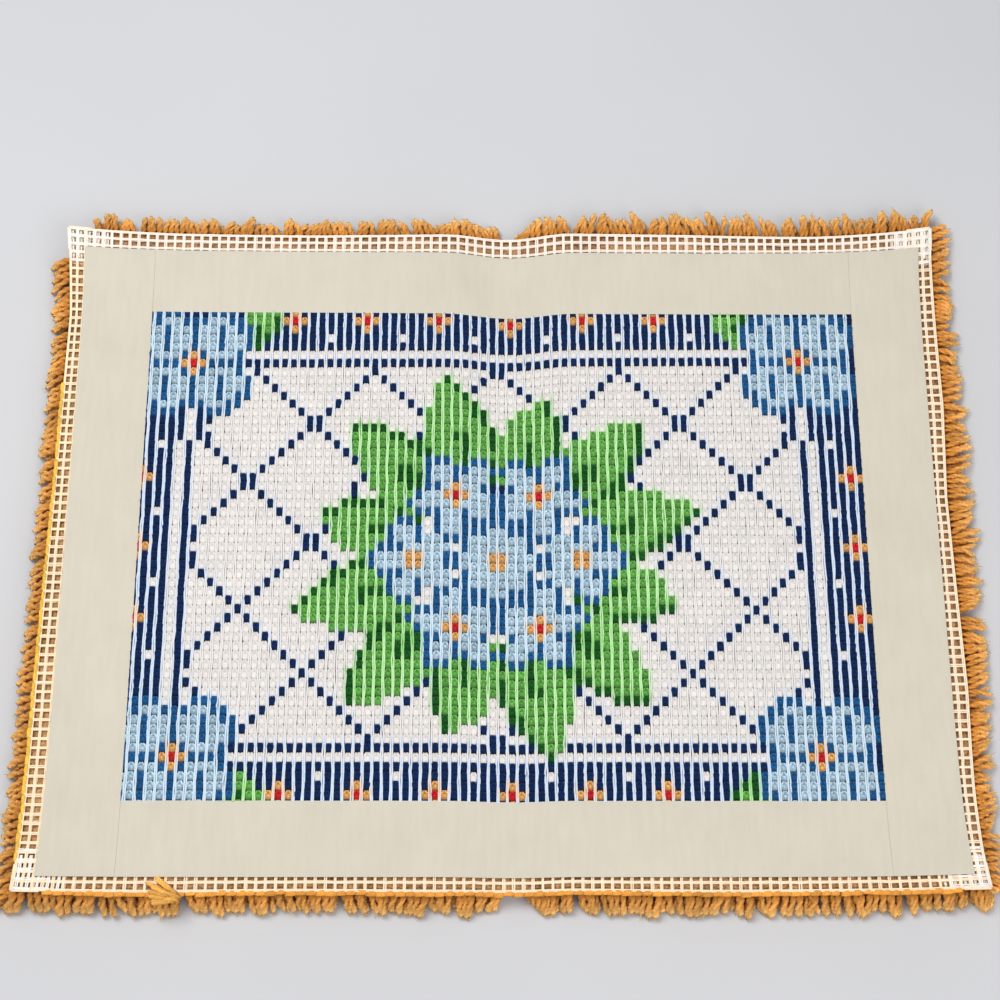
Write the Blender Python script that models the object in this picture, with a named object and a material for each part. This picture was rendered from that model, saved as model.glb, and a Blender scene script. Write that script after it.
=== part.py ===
"""Latch hook rug lying pile down, its finished back upward.

Metres, +Z up, the floor at z = 0. The width runs along X and the depth along Y, with
the front at -Y. Every layer is built flat, split where the rug bends, and then laid
over the same soft middle fold and raised corners, so the layers keep their distance.
"""

import math
import random

import bmesh
import bpy
import numpy as np
from mathutils import Matrix, Vector

# Canvas: double-thread mesh with 3.75 cells to the inch
PITCH = 0.006773
COLUMNS = 98
ROWS = 75
HALF_WIDTH = COLUMNS * PITCH / 2
HALF_DEPTH = ROWS * PITCH / 2

# Layers from the floor up, a hair apart
GAP = 0.0003
PILE_HEIGHT = 0.017
CANVAS_THICKNESS = 0.0012
HEM_THICKNESS = 0.0022
BINDING_THICKNESS = 0.0010
KNOT_BASE = 0.0006
RIB_HEIGHT = 0.0012

# Edges of the four binding strips, left, right, front and back
BINDING_OUTER = {"left": -0.3173, "right": 0.3187, "front": -0.2404, "back": 0.2377}
BINDING_INNER = {"left": -0.2644, "right": 0.2665, "front": -0.1901, "back": 0.1863}

# Rim openings of the canvas, at twice the mesh pitch
RIM_HOLE = 0.0091
RIM_BAR = 0.0023
PLAIN_CORNER_CELLS = 4

# Ribs of knot backs, one to each canvas column, with the warp bar between them
RIB_SHARE = 0.69
COLUMN_SHIFT = 0.45 * PITCH

# The middle fold runs from front to back and is deeper at the back
FOLD_X = 0.005
FOLD_HALF_WIDTH = 0.050
FOLD_DEPTH_FRONT = 0.0045
FOLD_DEPTH_BACK = 0.0100
FOLD_STEPS = 4

# The corners hold four layers of canvas and stand up a little
CORNER_RISE = 0.0020
CORNER_RUN_X = 0.080
CORNER_RUN_Y = 0.070
CROSS_BENDS = 6

# How far the middle of each side is drawn in, and how each corner is pulled in x and y
SIDE_BOW = {"left": 0.0004, "right": 0.0039, "front": 0.0020, "back": 0.0027}
CORNER_PULL = {
    ("left", "front"): (-0.0040, 0.0027),
    ("left", "back"): (-0.0027, 0.0027),
    ("right", "front"): (0.0033, 0.0048),
    ("right", "back"): (0.0000, 0.0060),
}

# Pile rim: how far the locks reach past the canvas, and how far their tips lean along it
LOCK_STEP = 0.0085
LOCK_REACH = {"left": 0.0150, "right": 0.0200, "front": 0.0135, "back": 0.0175}
LOCK_LEAN = {"left": 0.15, "right": 0.35, "front": 0.10, "back": 0.10}
RIM_SPREAD = 0.0050
RIM_LUMP = 0.0012
PARTING_HALF_WIDTH = 0.010
BARE_CORNER = 0.022

# Underside of the pile: dents between tufts, and a flat patch under the middle
DENT_STEP = 0.030
DENT_DEPTH = 0.0020
FLAT_PATCH = 0.040

# Moves the finished outline so that its middle is at the origin
CENTRE_SHIFT = Vector((-0.0020, -0.0045, 0.0))

COLOURS = {
    "pile": (0.50, 0.26, 0.07),
    "canvas": (0.84, 0.78, 0.72),
    "knot_backs": (0.42, 0.50, 0.60),
    "binding": (0.74, 0.68, 0.54),
}

chance = random.Random(11)

FOLD_STATIONS = [
    FOLD_X + FOLD_HALF_WIDTH * step / FOLD_STEPS for step in range(-FOLD_STEPS, FOLD_STEPS + 1)
]
FOLD_SHARES = [
    math.cos(math.pi * step / (2 * FOLD_STEPS)) ** 2 for step in range(-FOLD_STEPS, FOLD_STEPS + 1)
]
Y_BENDS = list(np.linspace(-HALF_DEPTH, HALF_DEPTH, CROSS_BENDS + 2))[1:-1]


def bend_planes():
    """Point and normal of each upright plane at which the laid cloth changes slope."""
    planes = [((x, 0.0, 0.0), (1.0, 0.0, 0.0)) for x in FOLD_STATIONS]
    planes += [((0.0, y, 0.0), (0.0, 1.0, 0.0)) for y in Y_BENDS]
    for side in (-1, 1):
        for end in (-1, 1):
            normal = Vector((side / CORNER_RUN_X, end / CORNER_RUN_Y, 0.0)).normalized()
            planes.append(((side * (HALF_WIDTH - CORNER_RUN_X), end * HALF_DEPTH, 0.0), normal))
    return planes


def lift(x, y):
    """Height of the laid cloth above its flat height, straight between the bends."""
    share = np.interp(x, FOLD_STATIONS, FOLD_SHARES)
    depth = np.interp(y, (-HALF_DEPTH, HALF_DEPTH), (FOLD_DEPTH_FRONT, FOLD_DEPTH_BACK))
    short_of_corner = (HALF_WIDTH - abs(x)) / CORNER_RUN_X + (HALF_DEPTH - abs(y)) / CORNER_RUN_Y
    return CORNER_RISE * max(0.0, 1.0 - short_of_corner) - share * depth


def bowed(x, y):
    """Plan position after the sides are drawn in and the corners pulled."""
    side = "left" if x < 0 else "right"
    end = "front" if y < 0 else "back"
    u = min(abs(x) / HALF_WIDTH, 1.0)
    v = min(abs(y) / HALF_DEPTH, 1.0)
    pull_x, pull_y = CORNER_PULL[side, end]
    draw_x = -math.copysign(SIDE_BOW[side], x)
    draw_y = -math.copysign(SIDE_BOW[end], y)
    dx = draw_x + (pull_x - draw_x) * v**6
    dy = draw_y + (pull_y - draw_y) * u**6
    return x + dx * u**4, y + dy * v**4


def split_at_bends(bm):
    """Cut every face at the lines where the laid cloth changes slope."""
    for point, normal in bend_planes():
        cut(bm, point, normal)


def cut(bm, point, normal, faces=None):
    """Bisect the whole mesh, or only the given faces, by a plane."""
    faces = list(bm.faces) if faces is None else faces
    edges = {edge for face in faces for edge in face.edges}
    verts = {vert for face in faces for vert in face.verts}
    bmesh.ops.bisect_plane(
        bm, geom=[*verts, *edges, *faces], plane_co=point, plane_no=normal, dist=1e-6
    )


def lay(bm):
    """Lower a flat layer on to the fold and the raised corners."""
    for vert in bm.verts:
        x, y, z = vert.co
        rise = lift(x, y)
        vert.co = Vector((*bowed(x, y), z + rise)) + CENTRE_SHIFT


def block(bm, low, high):
    """A cube primitive stretched between two corners."""
    low, high = Vector(low), Vector(high)
    size = high - low
    place = Matrix.Translation((low + high) / 2) @ Matrix.Diagonal((*size, 1.0))
    bmesh.ops.create_cube(bm, size=1.0, matrix=place)


def material(name, colour):
    """A dull fibre finish of one colour."""
    made = bpy.data.materials.new(name)
    made.use_nodes = True
    shader = made.node_tree.nodes["Principled BSDF"]
    shader.inputs["Base Color"].default_value = (*colour, 1.0)
    shader.inputs["Roughness"].default_value = 0.9
    shader.inputs["Metallic"].default_value = 0.0
    return made


def add_object(bm, name, finish, collection):
    """Turn a bmesh into a named object with outward faces."""
    bmesh.ops.recalc_face_normals(bm, faces=bm.faces)
    mesh = bpy.data.meshes.new(name)
    bm.to_mesh(mesh)
    bm.free()
    mesh.materials.append(finish)
    made = bpy.data.objects.new(name, mesh)
    collection.objects.link(made)
    return made


def rim_stations():
    """Evenly spaced points round the canvas edge, counter-clockwise, with side and normal."""
    across = round(2 * HALF_WIDTH / LOCK_STEP)
    along = round(2 * HALF_DEPTH / LOCK_STEP)
    stations = []
    for i in range(across):
        stations.append(("front", Vector((-HALF_WIDTH + 2 * HALF_WIDTH * i / across, -HALF_DEPTH, 0))))
    for i in range(along):
        stations.append(("right", Vector((HALF_WIDTH, -HALF_DEPTH + 2 * HALF_DEPTH * i / along, 0))))
    for i in range(across):
        stations.append(("back", Vector((HALF_WIDTH - 2 * HALF_WIDTH * i / across, HALF_DEPTH, 0))))
    for i in range(along):
        stations.append(("left", Vector((-HALF_WIDTH, HALF_DEPTH - 2 * HALF_DEPTH * i / along, 0))))
    return stations


OUTWARD = {
    "front": Vector((0, -1, 0)),
    "right": Vector((1, 0, 0)),
    "back": Vector((0, 1, 0)),
    "left": Vector((-1, 0, 0)),
}
ALONG = {
    "front": Vector((1, 0, 0)),
    "right": Vector((0, 1, 0)),
    "back": Vector((1, 0, 0)),
    "left": Vector((0, -1, 0)),
}


def rim_spread(side, point):
    """How far the pile swells past the canvas here: nothing where the fold parts it."""
    spread = RIM_SPREAD + chance.uniform(-RIM_LUMP, RIM_LUMP)
    if side in ("front", "back"):
        spread *= min(1.0, abs(point.x - FOLD_X) / (2 * PARTING_HALF_WIDTH))
    return spread


def pile_rings(stations):
    """Three rings of the pile's lumpy edge: on the floor, half way up and under the canvas."""
    floor, middle, top = [], [], []
    for i, (side, point) in enumerate(stations):
        before = stations[i - 1][0]
        outward = (OUTWARD[side] + OUTWARD[before]).normalized()
        spread = rim_spread(side, point)
        floor.append(point + outward * spread * 0.8)
        height = PILE_HEIGHT * chance.uniform(0.46, 0.56)
        middle.append(point + outward * spread * 1.1 + Vector((0, 0, height)))
        top.append(point - outward * 0.0006 + Vector((0, 0, PILE_HEIGHT)))
    return floor, middle, top


def grow_lock(bm, face, side, tier):
    """Draw a tapering lock out of one rim face, in two steps, drooping to rest level."""
    outward, along = OUTWARD[side], ALONG[side]
    centre = face.calc_center_median()
    edge = HALF_WIDTH if side in ("left", "right") else HALF_DEPTH
    start = centre.dot(outward)
    reach = edge + LOCK_REACH[side] * chance.uniform(0.72, 1.0) - start
    lean = (LOCK_LEAN[side] + chance.uniform(-0.15, 0.15)) * reach
    width = LOCK_STEP * chance.uniform(0.44, 0.50)
    if tier == 0:
        steps = ((0.55, 0.82, 0.0, 0.0058), (1.0, 0.34, 0.0, 0.0026))
    else:
        steps = ((0.55, 0.82, 0.0070, 0.0128), (0.96, 0.34, 0.0032, 0.0060))
    for share, taper, low, high in steps:
        face = bmesh.ops.extrude_discrete_faces(bm, faces=[face])["faces"][0]
        middle = face.calc_center_median()
        for vert in face.verts:
            sign = math.copysign(1.0, (vert.co - middle).dot(along))
            height = high if vert.co.z > middle.z else low
            flat = centre + outward * reach * share + along * (lean * share**2 + sign * width * taper)
            vert.co = Vector((flat.x, flat.y, height))


def has_lock(side, point):
    """No lock grows at the parting of the fold or under the thick corners."""
    if side in ("front", "back"):
        if abs(point.x - FOLD_X) < PARTING_HALF_WIDTH:
            return False
        return abs(point.x) < HALF_WIDTH - BARE_CORNER / 2
    return abs(point.y) < HALF_DEPTH - BARE_CORNER / 2


def dent_underside(bm, floor_face):
    """Split the underside in squares and press every second crossing up."""
    faces = [floor_face]
    x_lines = np.arange(-HALF_WIDTH + DENT_STEP / 2, HALF_WIDTH, DENT_STEP)
    y_lines = np.arange(-HALF_DEPTH + DENT_STEP / 2, HALF_DEPTH, DENT_STEP)
    for x in x_lines:
        cut(bm, (x, 0, 0), (1, 0, 0), faces)
        faces = [face for face in bm.faces if face.calc_center_median().z < 1e-6]
    for y in y_lines:
        cut(bm, (0, y, 0), (0, 1, 0), faces)
        faces = [face for face in bm.faces if face.calc_center_median().z < 1e-6]
    floor_verts = {vert for face in faces for vert in face.verts}
    for vert in sorted(floor_verts, key=lambda vert: (round(vert.co.x, 5), round(vert.co.y, 5))):
        x, y = vert.co.x, vert.co.y
        column = round((x - x_lines[0]) / DENT_STEP)
        row = round((y - y_lines[0]) / DENT_STEP)
        on_crossing = abs(x - x_lines[0] - column * DENT_STEP) < 1e-5
        on_crossing = on_crossing and abs(y - y_lines[0] - row * DENT_STEP) < 1e-5
        in_patch = max(abs(x), abs(y)) < FLAT_PATCH
        at_rim = abs(x) > HALF_WIDTH - 0.02 or abs(y) > HALF_DEPTH - 0.02
        if on_crossing and (column + row) % 2 and not in_patch and not at_rim:
            vert.co.z = DENT_DEPTH * chance.uniform(0.6, 1.0)


def make_pile(finish, collection):
    """A lumpy slab of yarn with tapered locks round its rim."""
    stations = rim_stations()
    rings = pile_rings(stations)
    bm = bmesh.new()
    rows = [[bm.verts.new(point) for point in ring] for ring in rings]
    floor_face = bm.faces.new(reversed(rows[0]))
    roof_face = bm.faces.new(rows[2])
    count = len(stations)
    locks = []
    for tier in (0, 1):
        low, high = rows[tier], rows[tier + 1]
        for i, (side, point) in enumerate(stations):
            j = (i + 1) % count
            face = bm.faces.new((low[i], low[j], high[j], high[i]))
            if i % 2 == tier and has_lock(side, (point + stations[j][1]) / 2):
                locks.append((face, side, tier))
    bm.normal_update()
    for face, side, tier in locks:
        grow_lock(bm, face, side, tier)
    bm.normal_update()
    dent_underside(bm, floor_face)
    roof = [roof_face]
    for point, normal in bend_planes():
        cut(bm, point, normal, roof)
        roof = [face for face in bm.faces if face.calc_center_median().z > PILE_HEIGHT - 1e-6]
    for vert in bm.verts:
        x, y, z = vert.co
        rise = lift(max(-HALF_WIDTH, min(x, HALF_WIDTH)), max(-HALF_DEPTH, min(y, HALF_DEPTH)))
        height = z * (PILE_HEIGHT + rise) / PILE_HEIGHT
        vert.co = Vector((*bowed(x, y), height)) + CENTRE_SHIFT
    print("locks", len(locks))
    return add_object(bm, "pile", finish, collection)


def rim_hole_places():
    """Centres of the rim openings, one row along each side, none in the thick corners."""
    step = 2 * PITCH
    inset = RIM_BAR + RIM_HOLE / 2
    places = []
    for count, half, other, turned in (
        (COLUMNS, HALF_WIDTH, HALF_DEPTH, False),
        (ROWS, HALF_DEPTH, HALF_WIDTH, True),
    ):
        holes = (count - 2 * PLAIN_CORNER_CELLS) // 2
        for i in range(holes):
            run = (i - (holes - 1) / 2) * step
            for edge in (-other + inset, other - inset):
                places.append((edge, run) if turned else (run, edge))
    return places


def make_rim_cutter(collection):
    """Square pegs, all in one mesh, that open the mesh round the hem."""
    bm = bmesh.new()
    half = RIM_HOLE / 2
    places = rim_hole_places()
    for x, y in places:
        block(bm, (x - half, y - half, 0.0), (x + half, y + half, 0.04))
    print("rim openings", len(places))
    cutter = add_object(bm, "rim_openings", None, collection)
    cutter.hide_render = True
    cutter.display_type = "WIRE"
    return cutter


def make_canvas(finish, collection, cutters):
    """One sheet of canvas, double at the hem, with its rim meshes open."""
    base = PILE_HEIGHT + GAP
    bm = bmesh.new()
    block(
        bm,
        (-HALF_WIDTH, -HALF_DEPTH, base),
        (HALF_WIDTH, HALF_DEPTH, base + HEM_THICKNESS),
    )
    bm.normal_update()
    for name, axis in (("left", 0), ("right", 0), ("front", 1), ("back", 1)):
        point = Vector((0, 0, 0))
        point[axis] = BINDING_INNER[name]
        normal = Vector((0, 0, 0))
        normal[axis] = 1.0
        upper = [face for face in bm.faces if face.normal.z > 0.9]
        cut(bm, point, normal, upper)
    field = min((f for f in bm.faces if f.normal.z > 0.9), key=lambda f: f.calc_center_median().xy.length)
    sunk = bmesh.ops.extrude_discrete_faces(bm, faces=[field])["faces"][0]
    bmesh.ops.translate(bm, verts=sunk.verts, vec=(0, 0, CANVAS_THICKNESS - HEM_THICKNESS))
    flat = add_object(bm, "canvas_flat", finish, collection)
    opening = flat.modifiers.new("rim", "BOOLEAN")
    opening.operation = "DIFFERENCE"
    opening.solver = "EXACT"
    opening.object = make_rim_cutter(cutters)
    bpy.context.view_layer.update()
    cut_mesh = bpy.data.meshes.new_from_object(flat.evaluated_get(bpy.context.evaluated_depsgraph_get()))
    bpy.data.objects.remove(flat)
    bm = bmesh.new()
    bm.from_mesh(cut_mesh)
    bpy.data.meshes.remove(cut_mesh)
    bmesh.ops.triangulate(bm, faces=bm.faces)
    split_at_bends(bm)
    lay(bm)
    return add_object(bm, "canvas", finish, collection)


def rib_lines():
    """Where the rib profile turns, as x and a share of the rib's height."""
    half_yarn = RIB_SHARE * PITCH / 2
    left, right = BINDING_INNER["left"] + GAP, BINDING_INNER["right"] - GAP
    first = math.floor((left - COLUMN_SHIFT) / PITCH)
    last = math.ceil((right - COLUMN_SHIFT) / PITCH)
    lines = []
    for column in range(first, last):
        centre = (column + 0.5) * PITCH + COLUMN_SHIFT
        lines.append((centre - PITCH / 2, 0.0))
        lines.append((centre - half_yarn, 1.0))
        lines.append((centre + half_yarn, 1.0))
    return [(x, share) for x, share in lines if left + 1e-4 < x < right - 1e-4]


def make_knot_backs(finish, collection):
    """The hooked field: a thin sheet with one rib of knot backs to each canvas column."""
    base = PILE_HEIGHT + GAP + CANVAS_THICKNESS + GAP
    low = (BINDING_INNER["left"] + GAP, BINDING_INNER["front"] + GAP, base)
    high = (BINDING_INNER["right"] - GAP, BINDING_INNER["back"] - GAP, base + KNOT_BASE)
    bm = bmesh.new()
    block(bm, low, high)
    bm.normal_update()
    lines = rib_lines()
    for x, _ in lines:
        upper = [face for face in bm.faces if face.normal.z > 0.9]
        cut(bm, (x, 0, 0), (1, 0, 0), upper)
    profile_x = [x for x, _ in lines]
    profile_share = [share for _, share in lines]
    for vert in bm.verts:
        if vert.co.z > base + KNOT_BASE / 2:
            vert.co.z += RIB_HEIGHT * np.interp(vert.co.x, profile_x, profile_share)
    split_at_bends(bm)
    lay(bm)
    print("ribs", sum(1 for _, share in lines if share == 1.0) // 2)
    return add_object(bm, "knot_backs", finish, collection)


def make_binding(name, low, high, finish, collection):
    """One flat strip of binding, laid on the hem."""
    base = PILE_HEIGHT + GAP + HEM_THICKNESS + GAP
    bm = bmesh.new()
    block(bm, (*low, base), (*high, base + BINDING_THICKNESS))
    split_at_bends(bm)
    lay(bm)
    return add_object(bm, f"binding_{name}", finish, collection)


def make_bindings(finish, collection):
    """Side strips over the full depth, the front and back strips between them."""
    outer, inner = BINDING_OUTER, BINDING_INNER
    make_binding("left", (outer["left"], outer["front"]), (inner["left"], outer["back"]), finish, collection)
    make_binding("right", (inner["right"], outer["front"]), (outer["right"], outer["back"]), finish, collection)
    from_x, to_x = inner["left"] + GAP, inner["right"] - GAP
    make_binding("front", (from_x, outer["front"]), (to_x, inner["front"]), finish, collection)
    make_binding("back", (from_x, inner["back"]), (to_x, outer["back"]), finish, collection)


def main():
    for old in list(bpy.data.objects):
        bpy.data.objects.remove(old, do_unlink=True)
    rug = bpy.data.collections.new("latch_hook_rug")
    cutters = bpy.data.collections.new("cutters")
    bpy.context.scene.collection.children.link(rug)
    bpy.context.scene.collection.children.link(cutters)
    finishes = {name: material(name, colour) for name, colour in COLOURS.items()}
    make_pile(finishes["pile"], rug)
    make_canvas(finishes["canvas"], rug, cutters)
    make_knot_backs(finishes["knot_backs"], rug)
    make_bindings(finishes["binding"], rug)


main()
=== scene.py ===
# %% [markdown]
# # A latch hook rug, seen from its back
#
# The rug lies pile down. From above we see its finished back: an open mesh canvas with
# a folded hem, a field of knot backs, four flat binding strips, and cut yarn that
# stands out all round from the pile underneath. The frame comes first: it holds the
# solids at their real size, and every piece made here takes its place from them.

import math
from itertools import product

import bpy
import numpy as np
from mathutils import Matrix, Vector


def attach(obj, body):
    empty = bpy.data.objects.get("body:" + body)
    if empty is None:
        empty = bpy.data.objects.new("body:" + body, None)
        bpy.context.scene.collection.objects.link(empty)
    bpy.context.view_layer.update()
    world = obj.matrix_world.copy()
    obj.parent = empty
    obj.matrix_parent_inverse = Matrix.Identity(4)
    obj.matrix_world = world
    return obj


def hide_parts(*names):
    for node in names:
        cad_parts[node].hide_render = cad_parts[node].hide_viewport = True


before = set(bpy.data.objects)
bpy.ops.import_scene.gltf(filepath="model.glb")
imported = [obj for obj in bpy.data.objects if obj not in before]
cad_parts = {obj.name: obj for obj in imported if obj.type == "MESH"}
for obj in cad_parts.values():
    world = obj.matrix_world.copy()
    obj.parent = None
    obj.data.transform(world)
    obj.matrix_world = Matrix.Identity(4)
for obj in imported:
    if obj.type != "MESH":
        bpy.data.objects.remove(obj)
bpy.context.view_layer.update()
scene = bpy.context.scene

# %% [markdown]
# ## Sizes
#
# Rug canvas is counted in meshes, so nearly every size here is a number of meshes or a
# height in the stack of layers: pile, canvas, knots, binding.

# %% Canvas, layers and field
PITCH = 0.006773
COLUMNS, ROWS = 98, 75
MIDDLE_COLUMN, MIDDLE_ROW = 47.5, 37
HALF_WIDTH, HALF_DEPTH = COLUMNS * PITCH / 2, ROWS * PITCH / 2
CENTRE_SHIFT = np.array([-0.0020, -0.0045, 0.0])
RIGHT, BACK, UP = np.eye(3)

PILE_TOP = 0.0170
FIELD_CANVAS_TOP = 0.0185
HEM_TOP = 0.0195
BINDING_BASE = 0.0198
BINDING_TOP = 0.0208

OUTER = {"left": -0.3176, "right": 0.3222, "front": -0.2438, "back": 0.2380}
INNER = {"left": -0.2648, "right": 0.2675, "front": -0.1901, "back": 0.1850}
SEAM = 0.00012
PATTERN_X, PATTERN_Y = -0.54 * PITCH, -0.53 * PITCH
chance = np.random.default_rng(7)
print("canvas", round(2000 * HALF_WIDTH), "by", round(2000 * HALF_DEPTH), "mm")

# %% [markdown]
# ## How the rug lies
#
# The rug was folded once, front to back, and still has a soft valley there. Its sides
# are drawn in a little and its corners, four layers thick, jut out and stand up. Each
# piece is made flat and then passed through `laid`, so that all the layers share the
# same bend and keep their distance.

# %% The shared bend
FOLD_X, FOLD_HALF_WIDTH = 0.005, 0.050
FOLD_DEPTH_FRONT, FOLD_DEPTH_BACK = 0.0045, 0.0100
CORNER_RISE, CORNER_RUN_X, CORNER_RUN_Y = 0.0020, 0.080, 0.070
SIDE_BOW = {"left": 0.0004, "right": 0.0039, "front": 0.0020, "back": 0.0027}
CORNER_PULL = {
    ("left", "front"): (-0.0040, 0.0027),
    ("left", "back"): (-0.0027, 0.0027),
    ("right", "front"): (0.0033, 0.0048),
    ("right", "back"): (0.0000, 0.0060),
}


def lift(x, y):
    """Height of the laid cloth above its flat height."""
    offset = np.clip((x - FOLD_X) / FOLD_HALF_WIDTH, -1, 1)
    valley = np.cos(offset * math.pi / 2) ** 2
    depth = np.interp(y, (-HALF_DEPTH, HALF_DEPTH), (FOLD_DEPTH_FRONT, FOLD_DEPTH_BACK))
    short = (HALF_WIDTH - np.abs(x)) / CORNER_RUN_X + (HALF_DEPTH - np.abs(y)) / CORNER_RUN_Y
    return CORNER_RISE * np.clip(1 - short, 0, 1) - valley * depth


def bowed(x, y):
    """Plan position after the sides are drawn in and the corners pulled."""
    left, front = x < 0, y < 0
    u, v = np.clip(np.abs(x) / HALF_WIDTH, 0, 1), np.clip(np.abs(y) / HALF_DEPTH, 0, 1)
    draw_x = np.where(left, SIDE_BOW["left"], -SIDE_BOW["right"])
    draw_y = np.where(front, SIDE_BOW["front"], -SIDE_BOW["back"])
    pull_x, pull_y = np.zeros_like(x), np.zeros_like(x)
    for (side, end), (px, py) in CORNER_PULL.items():
        here = (left == (side == "left")) & (front == (end == "front"))
        pull_x, pull_y = np.where(here, px, pull_x), np.where(here, py, pull_y)
    dx = draw_x + (pull_x - draw_x) * v**6
    dy = draw_y + (pull_y - draw_y) * u**6
    return x + dx * u**4, y + dy * v**4


def laid(points, pile=False):
    """Flat points laid over the fold; inside the pile the floor stays where it is."""
    x, y, z = np.moveaxis(np.asarray(points, float), -1, 0)
    rise = lift(np.clip(x, -HALF_WIDTH, HALF_WIDTH), np.clip(y, -HALF_DEPTH, HALF_DEPTH))
    new_x, new_y = bowed(x, y)
    new_z = z * (PILE_TOP + rise) / PILE_TOP if pile else z + rise
    return np.stack([new_x, new_y, new_z], -1) + CENTRE_SHIFT


# %% [markdown]
# Canvas is never quite true. The weft runs a little downhill at the back left, the warp
# spreads towards the sides, and the folded edge wanders by a few millimetres.

# %% Small untruths of the cloth
EDGE_WANDER = {
    "left": (-0.2, -0.2, -0.5, -1.5, -2.8, -3.6, -5.0, -1.2),
    "right": (-0.6, 0.4, 2.6, 0.8, -0.6, 2.6, 1.6, 0.2),
    "front": (0.0, 0.6, -0.4, 0.3, -0.6, 0.4, 0.0, 0.0),
    "back": (-0.4, -0.8, -1.0, 0.6, 2.0, 1.0, -1.2, -1.0),
}
STATIONS = np.linspace(-1, 1, 8)


def in_window(x, y, margin=0.0, behind=0.0):
    """Which points lie inside the inner edge of the binding, give or take a margin."""
    inside = (x > INNER["left"] - margin) & (x < INNER["right"] + margin)
    return inside & (y > INNER["front"] - margin) & (y < INNER["back"] + margin + behind)


def settled(points):
    """Pattern points moved to where the weft and warp really run."""
    x, y, z = np.moveaxis(np.asarray(points, float), -1, 0)
    u = x / INNER["right"]
    leftness = np.interp(x, (INNER["left"], 0.15), (1.0, 0.15))
    new_x = x + 0.0018 * np.sign(u) * np.abs(u) ** 5
    new_y = y - 0.0040 * np.exp(-(((y - 0.140) / 0.058) ** 2)) * leftness
    return np.stack([new_x, new_y, z], -1)


def wandered(points):
    """Rim points moved with the wandering edge; nothing moves under the binding."""
    x, y, z = np.moveaxis(np.array(points, float), -1, 0)
    new_x, new_y = x.copy(), y.copy()
    for name, way in (("left", -1), ("right", 1)):
        near = np.clip(1 - (HALF_WIDTH - way * x) / (2.4 * PITCH), 0, 1)
        new_x += way * near * np.interp(y / HALF_DEPTH, STATIONS, EDGE_WANDER[name]) / 1000
    for name, way in (("front", -1), ("back", 1)):
        near = np.clip(1 - (HALF_DEPTH - way * y) / (2.4 * PITCH), 0, 1)
        new_y += way * near * np.interp(x / HALF_WIDTH, STATIONS, EDGE_WANDER[name]) / 1000
    return np.stack([new_x, new_y, z], -1)


# %% [markdown]
# ## Helpers for pieces made of many small shapes
#
# A rug is thousands of equal stitches. Each kind is modelled once, and its points are
# then copied in arrays to every place, as one joined mesh: far lighter than thousands of
# objects, and easy to bend all together.

# %% Meshes from arrays
def colour_points(mesh, colours):
    """Store one linear colour at each point, for the yarn finishes to read."""
    layer = mesh.color_attributes.new("yarn", "FLOAT_COLOR", "POINT")
    rgba = np.concatenate([colours, np.ones((len(colours), 1))], 1)
    layer.data.foreach_set("color", rgba.astype(np.float32).ravel())


def mesh_piece(name, groups, finish, colours):
    """One object from groups of (points, faces of one size), ridden and slotted."""
    points, sizes, corners, base = [], [], [], 0
    for group_points, face_arrays in groups:
        points.append(group_points)
        for faces in face_arrays:
            corners.append((faces + base).ravel())
            sizes.append(np.full(len(faces), faces.shape[1]))
        base += len(group_points)
    points, sizes, corners = map(np.concatenate, (points, sizes, corners))
    starts = np.concatenate([[0], np.cumsum(sizes)[:-1]])
    mesh = bpy.data.meshes.new(name)
    mesh.vertices.add(len(points))
    mesh.vertices.foreach_set("co", points.astype(np.float32).ravel())
    mesh.loops.add(len(corners))
    mesh.loops.foreach_set("vertex_index", corners.astype(np.int32))
    mesh.polygons.add(len(sizes))
    mesh.polygons.foreach_set("loop_start", starts.astype(np.int32))
    mesh.polygons.foreach_set("use_smooth", np.ones(len(sizes), bool))
    mesh.update(calc_edges=True)
    colour_points(mesh, colours)
    mesh.materials.append(finish)
    piece = bpy.data.objects.new(name, mesh)
    scene.collection.objects.link(piece)
    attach(piece, "root")
    print(name, "triangles", int((sizes - 2).sum()))
    return piece


def grid_faces(rings, around):
    """Quads between closed rings of points, all rings with as many points."""
    ring_start, k = np.meshgrid(np.arange(rings - 1) * around, np.arange(around), indexing="ij")
    low, low_next = ring_start + k, ring_start + (k + 1) % around
    return np.stack([low, low_next, low_next + around, low + around], -1).reshape(-1, 4)


def tubes(paths, radius, sides, across, plies=0.0, twist=0.0, squash=1.0):
    """Closed tubes along paths (n, m, 3); plies over 0 give two twisted lobes."""
    n, m, _ = paths.shape
    along = np.gradient(paths, axis=1)
    along /= np.linalg.norm(along, axis=-1, keepdims=True)
    side = across - (across * along).sum(-1, keepdims=True) * along
    side /= np.linalg.norm(side, axis=-1, keepdims=True)
    up = np.cross(along, side)
    angle = np.arange(sides) * 2 * math.pi / sides + np.linspace(0, twist, m)[:, None]
    reach = 1 - plies + plies * np.cos(4 * math.pi * np.arange(sides) / sides)
    radius = np.broadcast_to(radius, (n, m))[..., None, None]
    ring = np.cos(angle)[None, :, :, None] * side[:, :, None]
    ring = ring + squash * np.sin(angle)[None, :, :, None] * up[:, :, None]
    points = paths[:, :, None] + radius * reach[None, None, :, None] * ring
    offsets = np.arange(n)[:, None, None] * m * sides
    quads = (grid_faces(m, sides)[None] + offsets).reshape(-1, 4)
    start = (np.arange(sides)[::-1][None, None] + offsets).reshape(-1, sides)
    end = (np.arange(sides)[None, None] + (m - 1) * sides + offsets).reshape(-1, sides)
    return points.reshape(-1, 3), [quads, start, end]


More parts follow.
